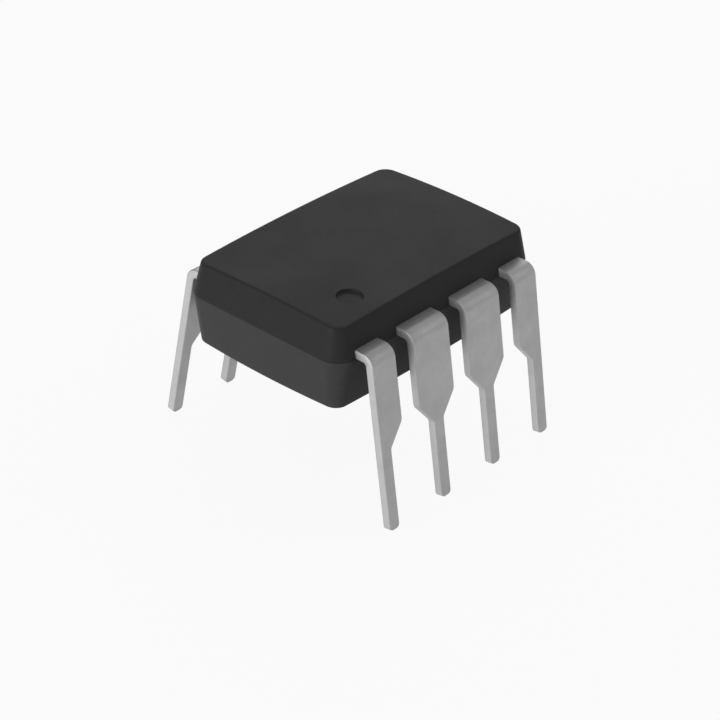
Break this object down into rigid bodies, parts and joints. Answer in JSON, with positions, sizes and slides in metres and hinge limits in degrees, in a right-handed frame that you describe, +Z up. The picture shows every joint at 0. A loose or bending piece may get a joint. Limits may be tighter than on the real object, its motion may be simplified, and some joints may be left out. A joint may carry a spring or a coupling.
{
  "type": "dip integrated circuit chip",
  "caption": "Dark moulded rectangular chip package with a round first-lead dimple and two rows of flat tinned leads that bend down, splay outwards and narrow to pins.",
  "frame": {"origin": "on the plane of the lead tips, under the middle of the moulded body", "axes": "+X along the body away from the marked end, +Y across it from the row of leads 1 to 4 to the row of leads 5 to 8, +Z up out of the top face"},
  "size_m": [0.0096, 0.01, 0.0069],
  "materials": {
    "mould_compound": "fine matt moulded epoxy with a faint sheen",
    "tinned_lead": "dull tin plate, faintly mottled, with stamped edges",
    "paddle_copper": "satin stamped copper alloy",
    "die_adhesive": "grey silver-filled epoxy",
    "silicon": "polished dark silicon",
    "gold_wire": "bright fine gold wire"
  },
  "bodies": {
    "root": {"moulded_body": "mould_compound", "lead_1": "tinned_lead", "lead_2": "tinned_lead", "lead_3": "tinned_lead", "lead_4": "tinned_lead", "lead_5": "tinned_lead", "lead_6": "tinned_lead", "lead_7": "tinned_lead", "lead_8": "tinned_lead", "die_paddle": "paddle_copper", "die_attach": "die_adhesive", "silicon_die": "silicon", "bond_wire_1": "gold_wire", "bond_wire_2": "gold_wire", "bond_wire_3": "gold_wire", "bond_wire_4": "gold_wire", "bond_wire_5": "gold_wire", "bond_wire_6": "gold_wire", "bond_wire_7": "gold_wire", "bond_wire_8": "gold_wire"}
  },
  "joints": []
}
